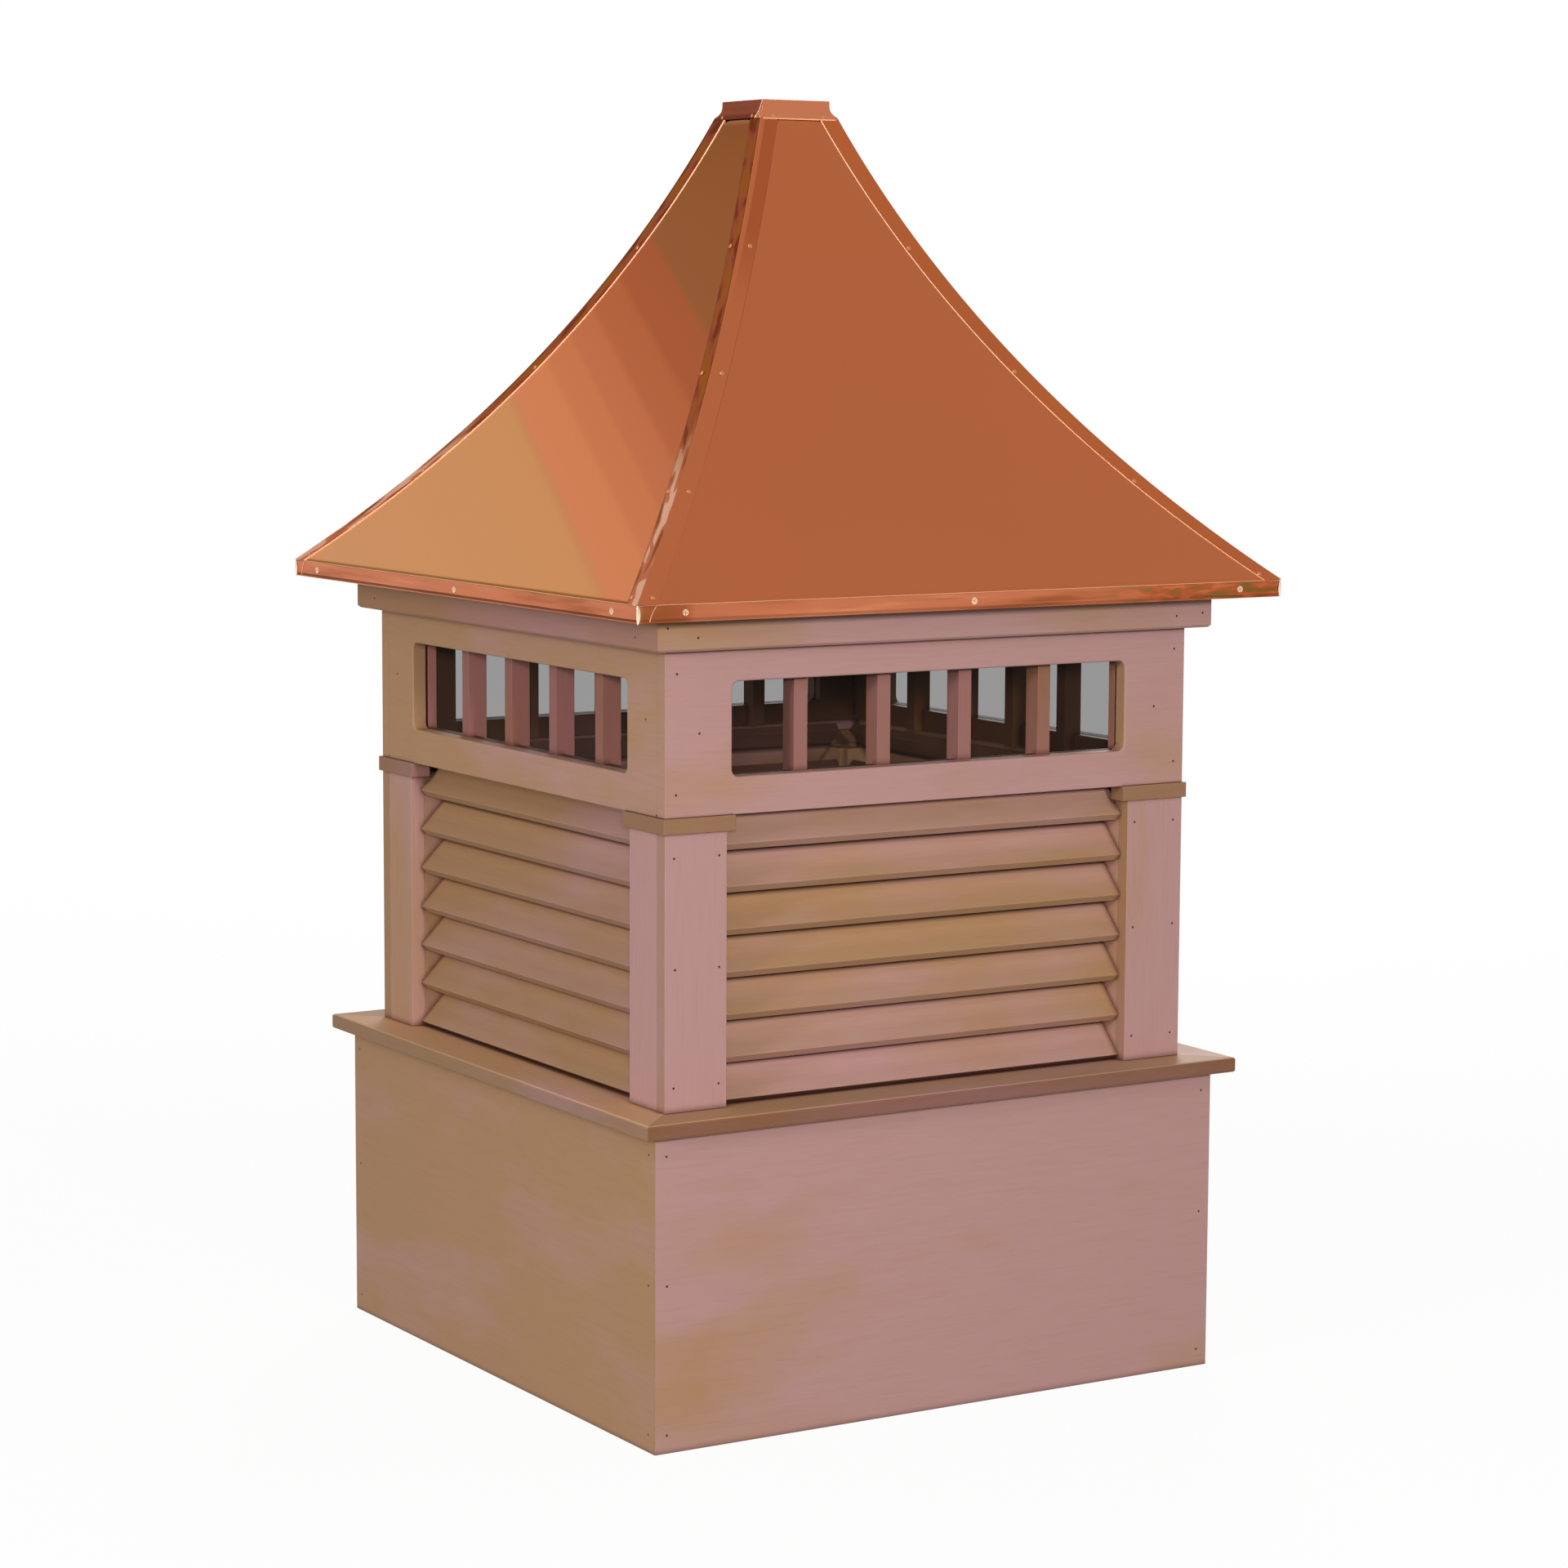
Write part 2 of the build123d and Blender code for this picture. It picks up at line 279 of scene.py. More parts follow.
def turned_head(name, outline, steps, cross=0.0):
    """A head turned from (radius, height) points in mm; cross is the radius of a driver's cross."""
    form = bmesh.new()
    rings = []
    for radius, height in outline[:-1]:
        spots = []
        for k in range(steps):
            sunk = cross_depth if radius < cross and 4 * k % steps == 0 else 0.0
            around = 2 * pi * k / steps
            spots.append((radius * mm * cos(around), radius * mm * sin(around), height * mm - sunk))
        rings.append([form.verts.new(p) for p in spots])
    tip = form.verts.new((0, 0, outline[-1][1] * mm - (cross_depth if cross else 0.0)))
    for low, high in zip(rings, rings[1:]):
        for k in range(steps):
            form.faces.new((low[k], low[(k + 1) % steps], high[(k + 1) % steps], high[k]))
    for k in range(steps):
        form.faces.new((rings[-1][k], rings[-1][(k + 1) % steps], tip))
    form.faces.new(rings[0][::-1])
    mesh = as_mesh(form, name)
    mesh.shade_smooth()
    return put_in(name, mesh)


def points(spots):
    """A mesh of loose points, each with the way that its head faces."""
    mesh = bpy.data.meshes.new("spots")
    mesh.from_pydata([p for p, way in spots], [], [])
    facing = mesh.attributes.new("facing", "FLOAT_VECTOR", "POINT")
    for item, (p, way) in zip(facing.data, spots):
        item.vector = way
    return mesh


def heads(piece, spots, head, finish, size=1.0):
    """Heads of one kind at these spots, as one piece."""
    values = {"Head": head, "Head size": size, "Finish": finish}
    return grown(piece, points(spots), set_heads, values)


WAYS = {"front": (0, -1, 0), "right": (1, 0, 0), "back": (0, 1, 0), "left": (-1, 0, 0)}


def spot_on(side, across, out, height):
    """A spot on a side, across it and out from the middle, with the way that it faces."""
    x, y, z = WAYS[side]
    return (x * out + abs(y) * across, y * out + abs(x) * across, height), (x, y, z)


def about_z(angle):
    """A turn about the upright axis, by an angle in degrees."""
    return Matrix.Rotation(radians(angle), 3, "Z")


def all_round(spots):
    """The spots of the front, repeated on all four sides."""
    turned = []
    for angle in SIDES.values():
        turn = about_z(angle)
        turned += [(turn @ Vector(p), turn @ Vector(way)) for p, way in spots]
    return turned


nail_inset = 16 * mm
nail_heights = (22 * mm, 204 * mm, 362 * mm)
nail_steel, tree, main = shader("nail heads", {"Roughness": 0.55, "Metallic": 0.3})
rust = cloud(tree, coordinates(tree), 900.0)
feed(tree, main, {"Base Color": ramp(tree, rust, ((0.35, paint(36, 24, 22)), (0.7, paint(78, 54, 44))))})
nail_head = turned_head("nail head", ((1.5, -0.8), (1.5, 0.1), (1.1, 0.16), (0, 0.12)), 10)
front_nails = []
for across in (-base_half + nail_inset, base_half - nail_inset):
    for height in nail_heights:
        stray = 2.2 * mm * noise.noise(Vector((across * 40, height * 40, 1)))
        front_nails.append(spot_on("front", across + stray, base_half, height + stray))
base_nails = heads("base_nails", all_round(front_nails), nail_head, nail_steel)
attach(base_nails, "root")

# SILL
# Four mitred boards that lie on the base and stand out past it, with their top outer edges rounded over.
# They carry the corner posts and the lowest louvre.

sill_x = timber("sill boards along x", "x", 0.1, 1.12)
# The side sills are painted much lighter on their tops: painted light.
painted_lit_sill_y = timber("sill boards along y, painted lit", "y", 0.1, 1.52)
sill_edge_x = timber("sill edges along x", "x", 0.25, (0.54, 0.43, 0.40))
sill_edge_y = timber("sill edges along y", "y", 0.2, 0.82)
for side in SIDES:
    finish, edge = (sill_x, sill_edge_x) if side in ALONG_X else (painted_lit_sill_y, sill_edge_y)
    eased(f"sill_{side}", f"sill_board_{side}", 0.6 * mm, finish, [(edge, WAYS.values())])

# CORNER POSTS
# Two upright boards at each corner, butted so that the front one shows its edge on the side.
# Nailed to each other and to the jambs behind them, with the grain upright.

CORNERS = ("front_left", "front_right", "back_right", "back_left")
body_half = 381.0 * mm
rose_z = timber("rose boards along z", "z", 0.95)
# The posts' side boards are painted lighter: painted light.
painted_lit_side_z = timber("side boards of the posts, painted lit", "z", 0.8, 1.12)
tan_z = timber("tan boards along z", "z", 0.1, 0.95)
ends = (WAYS["right"], WAYS["left"])
for corner in CORNERS:
    eased(f"post_face_{corner}", f"post_face_board_{corner}", 0.6 * mm, rose_z, [(tan_z, ends)])
    eased(f"post_side_{corner}", f"post_side_board_{corner}", 0.6 * mm, painted_lit_side_z)
post_nail_heights = (437 * mm, 578 * mm, 713 * mm)
post_nails = []
for across in (-368 * mm, -306 * mm, 306 * mm, 368 * mm):
    for height in post_nail_heights:
        stray = 2 * mm * noise.noise(Vector((across * 50, height * 50, 5)))
        post_nails.append(spot_on("front", across + stray, body_half, height + stray))
        post_nails.append(spot_on("back", -across - stray, body_half, height + stray))
post_nails = heads("post_nails", post_nails, nail_head, nail_steel)
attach(post_nails, "root")

# POST CAPS AND LOUVRE JAMBS
# The caps are flat L-shaped ledges that lie on the posts and close the top of the louvres' corner.
# The jambs are upright strips behind the posts, into which the slats are housed.

cap_wood = timber("post cap boards", "x", 0.1, (0.74, 0.68, 0.70))
eased("post_caps", "post_cap_ledges", 0.8 * mm, cap_wood)
# The jambs are painted lighter: painted light in their recess behind the posts.
painted_lit_jamb_wood = timber("jambs behind the posts, painted lit", "z", 0.4, 1.1)
eased("louvre_jambs", "louvre_jamb_strips", 0.4 * mm, painted_lit_jamb_wood)

# LOUVRES
# Seven fixed slats a side at 45 degrees, planed flat with a square nose and housed in the jambs.
# The lowest one is planed off where it lies on the sill.

sill_top = 406.05 * mm
slat_thick = 12.7 * mm
slat_width = 76.2 * mm
slat_pitch = 51.8 * mm
slat_count = 7
slat_length = 2 * 295.2 * mm
slat_ease = 0.9 * mm
nose_half = 368 * mm
nose_top = 723.25 * mm


def slat_section():
    """The top slat of the front, as one eased board."""
    run, fall = slat_width / sqrt(2), slat_thick / sqrt(2)
    outline = (
        (-nose_half, nose_top),
        (-nose_half + run, nose_top + run),
        (-nose_half + run + fall, nose_top + run - fall),
        (-nose_half + fall, nose_top - fall),
    )
    form = bmesh.new()
    left, right = [[form.verts.new((x, y, z)) for y, z in outline]
                   for x in (-slat_length / 2, slat_length / 2)]
    form.faces.new(left)
    form.faces.new(right[::-1])
    for k in range(4):
        form.faces.new((left[k], right[k], right[(k + 1) % 4], left[(k + 1) % 4]))
    bmesh.ops.recalc_face_normals(form, faces=form.faces)
    long_edges = [e for e in form.edges if e.calc_length() > slat_length * 0.9]
    bmesh.ops.bevel(form, geom=long_edges, offset=slat_ease, segments=2, profile=0.5, affect="EDGES")
    return as_mesh(form, "slat")


def arithmetic(tree, kind, first, second=0.0):
    """Arithmetic of this kind on one value or two; each may be a number or a socket."""
    step = tree.nodes.new("ShaderNodeMath")
    step.operation = kind
    return feed(tree, step, {0: first, 1: second}).outputs["Value"]


def axes_of(tree, vector):
    """The three axes of a vector."""
    return make(tree, "ShaderNodeSeparateXYZ", {"Vector": vector}).outputs


def louvre_tree():
    """Geometry nodes: a ladder of slats, cut off level with the sill and turned to its side."""
    tree, given = new_tree("ladder of slats", (
        ("Slats", "Int", slat_count),
        ("Step", "Vector", None),
        ("Sill height", "Float", 0.4),
        ("Turn", "Vector", None),
        ("Finish", "Material", None),
    ))
    ladder = make(tree, "GeometryNodeMeshLine", {"Count": given["Slats"], "Offset": given["Step"]})
    slats = {"Points": ladder.outputs["Mesh"], "Instance": given["Geometry"]}
    put = make(tree, "GeometryNodeInstanceOnPoints", slats)
    real = make(tree, "GeometryNodeRealizeInstances", {"Geometry": put.outputs["Instances"]})
    axes = axes_of(tree, tree.nodes.new("GeometryNodeInputPosition").outputs["Position"])
    level = arithmetic(tree, "MAXIMUM", axes["Z"], given["Sill height"])
    join = make(tree, "ShaderNodeCombineXYZ", {"X": axes["X"], "Y": axes["Y"], "Z": level})
    planed = {"Geometry": real.outputs["Geometry"], "Position": join.outputs["Vector"]}
    plane = make(tree, "GeometryNodeSetPosition", planed)
    turned = {"Geometry": plane.outputs["Geometry"], "Rotation": given["Turn"]}
    spin = make(tree, "GeometryNodeTransform", turned)
    return dress_tree(tree, given, spin.outputs["Geometry"])


def lit_and_shadowed_inwards(finish, axis, deep):
    """Slats painted paler towards their inner edge, as painted light, and dark past it, as a painted shadow
    line under the slat above.
    """
    tree = finish.node_tree
    main = tree.nodes["Principled BSDF"]
    board = main.inputs["Base Color"].links[0].from_socket
    off_middle = arithmetic(tree, "ABSOLUTE", axes_of(tree, coordinates(tree))[axis])
    painted_shadow_line = (0.12, 0.08, 0.08, 1)
    painted_light_and_shadow = ramp(tree, off_middle, (
        (deep - 7.5 * mm, (0.4, 0.3, 0.24, 1)), (deep - 5.5 * mm, painted_shadow_line),
        (deep - 0.6 * mm, painted_shadow_line), (deep + 0.6 * mm, (1.45, 1.42, 1.4, 1)),
        (343 * mm, (1.25, 1.24, 1.22, 1)), (356 * mm, WHITE),
    ))
    feed(tree, main, {"Base Color": blend(tree, 1.0, board, painted_light_and_shadow, "MULTIPLY")})
    return finish


slats_x = lit_and_shadowed_inwards(timber("slats along x", "x", 0.5), "Y", 332.2 * mm)
slats_y = lit_and_shadowed_inwards(timber("slats along y", "y", 0.15), "X", 333.5 * mm)
ladder_of_slats = louvre_tree()
for side, angle in SIDES.items():
    finish = slats_x if side in ALONG_X else slats_y
    slats = grown(f"louvre_slats_{side}", slat_section(), ladder_of_slats, {
        "Slats": slat_count,
        "Step": (0.0, 0.0, -slat_pitch),
        "Sill height": sill_top,
        "Turn": (0.0, 0.0, radians(angle)),
        "Finish": finish,
    })
    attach(slats, "root")
    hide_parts(f"louvre_{side}")

# WINDOW BAND
# One wide board a side with a long window cut out of it, its corners round and its edge rounded over.
# The front and back boards run to the corners, and the side ones are nailed between them.

for side in SIDES:
    finish = rose_x if side in ALONG_X else painted_lit_tan_y
    eased(f"transom_{side}", f"window_board_{side}", 0.6 * mm, finish, [(painted_lit_tan_y, ends)])
band_nails = []
for way in (-1, 1):
    for across, height in ((365, 932), (366, 788), (334, 860)):
        for side in ALONG_X:
            band_nails.append(spot_on(side, way * across * mm, body_half, height * mm))
    for across, height in ((335, 875), (361, 763)):
        for side in ALONG_Y:
            band_nails.append(spot_on(side, way * across * mm, body_half, height * mm))
band_nails = heads("window_board_nails", band_nails, nail_head, nail_steel)
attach(band_nails, "root")

# WINDOW FRAMES
# Rails, stiles and four upright bars behind each window, which clamp the insect screen to its board.
# Of the same bare wood: the frames painted dark as painted shade, the bars' faces, and on the front and
# left windows their sides, painted lighter as painted light.

painted_shade_frame_wood = timber("window frames, painted shade", "z", 0.4, (0.40, 0.29, 0.21))
painted_lit_bar_face_x = timber("window bars, front and back, painted lit", "z", 0.7, (1.4, 1.15, 1.08))
painted_lit_bar_face_y = timber("window bars, sides, painted lit", "z", 0.8, (1.6, 1.22, 1.15))
painted_lit_bar_side_x = timber("sides of the bars, front, painted lit", "z", 0.7, (1.5, 1.15, 1.08))
painted_lit_bar_side_y = timber("sides of the bars, left, painted lit", "z", 0.8, (1.8, 1.3, 1.25))
for side in ("right", "back", "left", "front"):
    face, flank = (painted_lit_bar_face_x, painted_lit_bar_side_x) if side in ALONG_X else (painted_lit_bar_face_y, painted_lit_bar_side_y)
    finishes = [(face, (WAYS[side],))]
    # Only the front and left windows get the bars' sides in painted light.
    if side in ("front", "left"):
        beside = ALONG_Y if side == "front" else ALONG_X
        finishes.append((flank, [WAYS[other] for other in beside]))
    eased(f"window_frame_{side}", f"window_bars_{side}", 0.5 * mm, painted_shade_frame_wood, finishes)

# INSECT SCREENS
# Fine dark mesh cloth behind each window, held by the frame and pulled almost flat.
# Its threads are too thin to see one by one, so it is a sheet that lets a good half of the light through.

screen_half = 344 * mm
screen_low = 778.5 * mm
screen_high = 947 * mm
screen_out = 360.6 * mm
screen_cloth, tree, main = shader("screen cloth", {"Roughness": 0.75, "Alpha": 0.45})
dust = cloud(tree, coordinates(tree), 40.0)
feed(tree, main, {"Base Color": ramp(tree, dust, ((0.3, paint(11, 10, 10)), (0.7, paint(18, 17, 16))))})


def skin(name, rows, closed=False):
    """A mesh through rows of points; closed rows join up with themselves."""
    form = bmesh.new()
    grid = [[form.verts.new(p) for p in row] for row in rows]
    for low, high in zip(grid, grid[1:]):
        for a, b, c, d in zip(low, low[1:], high[1:], high):
            form.faces.new((a, b, c, d))
        if closed:
            form.faces.new((low[-1], low[0], high[0], high[-1]))
    return as_mesh(form, name)


def sheet_object(piece, rows, wall, finish, closed=False):
    """A smooth sheet through rows of points, thickened inwards by wall."""
    mesh = skin(piece, rows, closed)
    mesh.shade_smooth()
    mesh.materials.append(finish)
    thing = put_in(piece, mesh)
    if wall:
        thicken = thing.modifiers.new("wall", "SOLIDIFY")
        thicken.thickness = wall
        thicken.offset = -1.0
    return thing


for side, angle in SIDES.items():
    turn = about_z(angle)
    rows = []
    for k in range(9):
        height = screen_low + (screen_high - screen_low) * k / 8
        row = []
        for i in range(33):
            across = screen_half * (i / 16 - 1)
            slack = 0.35 * mm * noise.noise(Vector((across * 9, height * 14, angle)))
            row.append(turn @ Vector((across, -screen_out + slack, height)))
        rows.append(row)
    screen = sheet_object(f"insect_screen_{side}", rows, 0, screen_cloth)
    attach(screen, "root")
    screen.visible_shadow = False
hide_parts("window_screens")

# FASCIA
# Four mitred strips round the top of the window band, close under the eave, with a small chamfer below.
# Nailed through their faces into the window boards, near each end.

fascia_out = 405 * mm
fascia_wood = timber("fascia boards along x", "x", 0.5)
for side in SIDES:
    finish = fascia_wood if side in ALONG_X else painted_shade_rose_y
    eased(f"fascia_{side}", f"fascia_board_{side}", 0.5 * mm, finish)
fascia_nails = []
for way in (-1, 1):
    for across, height in ((391, 983.5 - 5 * way), (350, 976)):
        fascia_nails.append(spot_on("front", way * across * mm, fascia_out, height * mm))
        fascia_nails.append(spot_on("back", -way * across * mm, fascia_out, height * mm))
    for side in ALONG_Y:
        fascia_nails.append(spot_on(side, way * 352 * mm, fascia_out, 975 * mm))
fascia_nails = heads("fascia_nails", fascia_nails, nail_head, nail_steel)
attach(fascia_nails, "root")

# ROOF DECK AND HIDDEN ROOF FRAME
# A board deck that the copper is dressed over, and the ribs and post that carry the copper.
# Only the deck's underside shows, through the windows and from below.

# The deck and the ribs are painted near black: painted shade.
painted_shade_deck_wood = timber("deck and ribs, painted shade", "x", 0.2, 0.16)
eased("roof_deck", "roof_deck_boards", 0.5 * mm, painted_shade_deck_wood)
eased("roof_frame", "roof_ribs_and_post", 0.3 * mm, painted_shade_deck_wood)

# COPPER ROOF PANELS
# Four sheets of bright rolled copper, bent to one hollow arc from the eave to the collar.
# Thin and polished, so they show the room softly. The side ones carry a painted reflection in slanted
# bands.

sheet = 1.2 * mm
fit = 0.3 * mm
eave_half = 466.0 * mm
eave_top = 1022.05 * mm
roof_height = 580.0 * mm
roof_top = eave_top + roof_height
roof_radius = 1603.0 * mm
roof_foot_half = eave_half - sheet / 2
roof_top_half = 55.8 * mm
chord_half = sqrt((roof_foot_half - roof_top_half) ** 2 + roof_height**2) / 2
centre_off = sqrt(roof_radius**2 - chord_half**2)
arc_centre_half = (roof_foot_half + roof_top_half + centre_off * roof_height / chord_half) / 2
arc_centre_z = (eave_top + roof_top + centre_off * (roof_foot_half - roof_top_half) / chord_half) / 2


def roof_half(height, out):
    """Half width of the roof at a height, on a surface a little outside that of the panels."""
    return arc_centre_half - sqrt((roof_radius - out) ** 2 - (height - arc_centre_z) ** 2)


def remapped(tree, value, start, end, low=0.0, high=1.0, smooth=False):
    """A value that goes from low to high while the given one goes from start to end."""
    step = make(tree, "ShaderNodeMapRange", {
        "Value": value, "From Min": start, "From Max": end, "To Min": low, "To Max": high})
    step.interpolation_type = "SMOOTHSTEP" if smooth else "LINEAR"
    return step.outputs["Result"]


def reach_along(tree, vector, way):
    """How far a vector reaches along this way."""
    step = tree.nodes.new("ShaderNodeVectorMath")
    step.operation = "DOT_PRODUCT"
    return feed(tree, step, {0: vector, 1: way}).outputs["Value"]


def copper(name, tone, roughness, drift, metallic=1.0, tint=(0.98, 0.91, 0.85, 1)):
    """Bright rolled copper; drift is how far its tone wanders."""
    finish, tree, main = shader(name, {
        "Roughness": roughness, "Metallic": metallic, "Specular Tint": tint, "Base Color": tone})
    if drift:
        wander = cloud(tree, coordinates(tree), 2.2, 2.0, 0.5)
        darker_tone = tuple(c * (1 - drift) for c in tone[:3]) + (1,)
        lively = tuple(min(c * (1 + drift * 0.5), 1) for c in tone[:3]) + (1,)
        feed(tree, main, {"Base Color": ramp(tree, wander, ((0.35, darker_tone), (0.65, lively)))})
    rolled = cloud(tree, place(tree, (0.5, 0.5, 3.0)), 14.0, 3.0, 0.5)
    feed(tree, main, {"Normal": emboss(tree, rolled, 0.25 * mm, 0.15)})
    return finish


def painted_reflection_copper(name, turn):
    """Copper with a painted reflection in slanted bands, from pale tan low at one hip to brown high at the
    other.
    """
    finish = copper(name, WHITE, 0.16, 0.0, tint=(0.98, 0.93, 0.89, 1))
    tree = finish.node_tree
    slant = reach_along(tree, coordinates(tree), (1.7375 * turn, -0.9237 * turn, 1))
    low, high = 300, 1400
    stops = (
        (384, (240, 160, 86)), (550, (239, 159, 84)), (574, (238, 146, 78)), (591, (248, 142, 78)),
        (700, (246, 140, 74)), (722, (237, 129, 66)), (794, (235, 128, 64)), (813, (226, 119, 58)),
        (884, (223, 117, 55)), (905, (212, 104, 38)), (992, (209, 102, 33)), (1016, (197, 90, 20)),
        (1126, (194, 89, 16)), (1146, (172, 92, 13)), (1349, (169, 91, 11)),
    )
    tone = ramp(tree, remapped(tree, slant, low * mm, high * mm),
                [((z - low) / (high - low), paint(*c)) for z, c in stops])
    feed(tree, tree.nodes["Principled BSDF"], {"Base Color": tone})
    return finish


panel_copper = copper("panel copper", paint(209, 117, 73), 0.2, 0.02)
left_copper = painted_reflection_copper("left panel copper, painted reflection", 1)
right_copper = painted_reflection_copper("right panel copper, painted reflection", -1)
panel_finish = {"front": panel_copper, "right": right_copper, "back": panel_copper, "left": left_copper}


def turned_rows(rows, angle):
    """The same rows, turned about the upright axis."""
    turn = about_z(angle)
    return [[turn @ Vector(p) for p in row] for row in rows]


def panel_rows():
    """The front panel: level rows up the arc, cut along the hips."""
    rows = []
    for i in range(65):
        height = eave_top + roof_height * (i / 64) ** 1.15
        half = roof_half(height, 0)
        reach = half - fit
        rows.append([(reach * (2 * k / 32 - 1), -half, height) for k in range(33)])
    return rows


for side, angle in SIDES.items():
    rows = turned_rows(panel_rows(), angle)
    panel = sheet_object(f"copper_panel_{side}", rows, sheet, panel_finish[side])
    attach(panel, "root")
    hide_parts(f"roof_panel_{side}")

# HIP CAPS
# Folded copper strips over the four hips, with a rounded ridge and a turned edge on each flange.
# Hand dressed to the curve, so their flanges are crumpled on two sides; on two hips the flange edges are
# painted pale as a painted highlight.

near_hip_copper = copper("hip copper, left", paint(212, 119, 75), 0.2, 0.03)
far_hip_copper = copper("hip copper, right", paint(206, 110, 62), 0.2, 0.12)
# Pale and nearly matt, a painted highlight along the flange edges of two hips.
painted_highlight_edge_copper = copper("hip cap edge, painted highlight", paint(255, 212, 176), 0.6, 0.0, metallic=0.2)


def darken_past_bounds(finish, tone, *bounds):
    """Multiplies a tone in past every bound, each of which is a way and two distances along it."""
    tree = finish.node_tree
    main = tree.nodes["Principled BSDF"]
    bright = main.inputs["Base Color"].links[0].from_socket
    size = make(tree, "ShaderNodeVectorMath", {0: coordinates(tree)})
    size.operation = "ABSOLUTE"
    share = 1.0
    for way, start, end in bounds:
        along = reach_along(tree, size.outputs["Vector"], way)
        share = arithmetic(tree, "MULTIPLY", share, remapped(tree, along, start, end))
    darker_tone = blend(tree, 1.0, bright, tone, "MULTIPLY")
    feed(tree, main, {"Base Color": blend(tree, share, bright, darker_tone)})


off_ridge, upward = (-1, 1, 0), (0, 0, 1)
# The near hips' flat copper is made darker away from the ridge, high up.
darken_past_bounds(near_hip_copper, (0.80, 0.68, 0.56, 1), (off_ridge, 6 * mm, 8 * mm), (upward, 1360 * mm, 1460 * mm))


def dressed_copper():
    """Copper of the flanges that were beaten to the curve: crumpled, with pale flecks low down that are
    painted highlights, and brown higher up.
    """
    finish, tree, main = shader("dressed hip copper", {
        "Roughness": 0.16, "Metallic": 1.0, "Specular Tint": (0.8, 0.55, 0.45, 1)})
    axes = axes_of(tree, coordinates(tree))
    off_sides = [arithmetic(tree, "ABSOLUTE", axes[axis]) for axis in ("X", "Y")]
    across = arithmetic(tree, "SUBTRACT", *off_sides)
    along = make(tree, "ShaderNodeCombineXYZ", {"X": across, "Z": axes["Z"]})
    pulled = make(tree, "ShaderNodeMapping", {"Vector": along.outputs["Vector"], "Scale": (1.0, 1.0, 0.42)})
    crumples_and_glints = cloud(tree, pulled.outputs["Vector"], 62.0, 1.5, 0.5)
    # The pale flecks are painted highlights of the crumples.
    low = ramp(tree, crumples_and_glints, (
        (0.34, paint(160, 92, 62)), (0.40, paint(216, 130, 96)), (0.50, paint(220, 136, 102)),
        (0.53, paint(255, 200, 174)), (0.64, paint(255, 208, 176)), (0.68, paint(236, 178, 118)),
    ))
    high = ramp(tree, crumples_and_glints, (
        (0.36, paint(132, 62, 44)), (0.44, paint(168, 84, 68)),
        (0.52, paint(176, 98, 58)), (0.62, paint(170, 104, 44)),
    ))
    near_ridge = remapped(tree, across, 1.7 * mm, 2.9 * mm, 1.0, 0.0)
    high = blend(tree, near_ridge, high, paint(118, 70, 24))
    rise = remapped(tree, axes["Z"], 1130 * mm, 1240 * mm, smooth=True)
    tone = blend(tree, rise, low, high)
    feed(tree, main, {"Base Color": tone, "Normal": emboss(tree, crumples_and_glints, 1.2 * mm, 0.35)})
    return finish


crumpled_copper = dressed_copper()


def flange_out(height, across, lift, depth, lines, seed):
    """How far out a flange lies here, with the creases from its dressing; depth is that of the creases."""
    bend = max(min(across, 26 - across), 0) / 13
    crease = depth * bend * noise.noise(Vector((height * lines[0], across * lines[1], seed)))
    return roof_half(height, sheet + fit + (lift + crease) * mm)


def hip_rows():
    """The front left hip cap: rows up the hip, each across both flanges and the ridge."""
    rows = []
    steps = 200
    # From the edge to the ridge, as (distance from the ridge, lift) in mm.
    flange = (
        (27.3, -1.2), (27.2, -1.0), (26.1, 0.0), (22.0, 0.0), (16.0, 0.0), (10.0, 0.0), (5.0, 0.0),
        (3.0, -0.1), (1.9, 0.1), (1.0, 0.5),
    )
    for i in range(steps + 1):
        height = eave_top + 0.2 * mm + (roof_height - 0.4 * mm) * i / steps
        half = roof_half(height, sheet + fit)
        ridge = half + 0.1 * mm
        row = []
        for across, lift in flange:
            out = flange_out(height, across, lift - 0.25, 0.35, (18, 0.08), 3)
            row.append((-half + across * mm, -out, height))
        row.append((-ridge, -ridge, height))
        for across, lift in flange[::-1]:
            out = flange_out(height, across, lift - 0.7, 1.0, (30, 0.14), 8)
            row.append((-out, -half + across * mm, height))
        rows.append(row)
    return rows


cap_rows = hip_rows()
strips = len(cap_rows[0]) - 1
edge_strips = (0, 1, strips - 2, strips - 1)
for corner, angle in zip(CORNERS, SIDES.values()):
    flat_copper = near_hip_copper if corner in ("front_left", "back_right") else far_hip_copper
    cap = sheet_object(f"hip_cap_{corner}", turned_rows(cap_rows, angle), 0, flat_copper)
    cap.data.materials.append(crumpled_copper)
    cap.data.materials.append(painted_highlight_edge_copper)
    for number, face in enumerate(cap.data.polygons):
        face.material_index = int(abs(face.normal.x) > abs(face.normal.y))
        if number % strips in edge_strips:
            face.use_smooth = False
            if flat_copper == far_hip_copper:
                face.material_index = 2
    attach(cap, "root")
    if angle == 0:
        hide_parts("hip_caps")

# RIVETS OF THE HIPS
# Copper pop rivets with domed heads, four up each flange, through the hip cap and the panel.
# Each stands square to the curve of the roof where it sits.

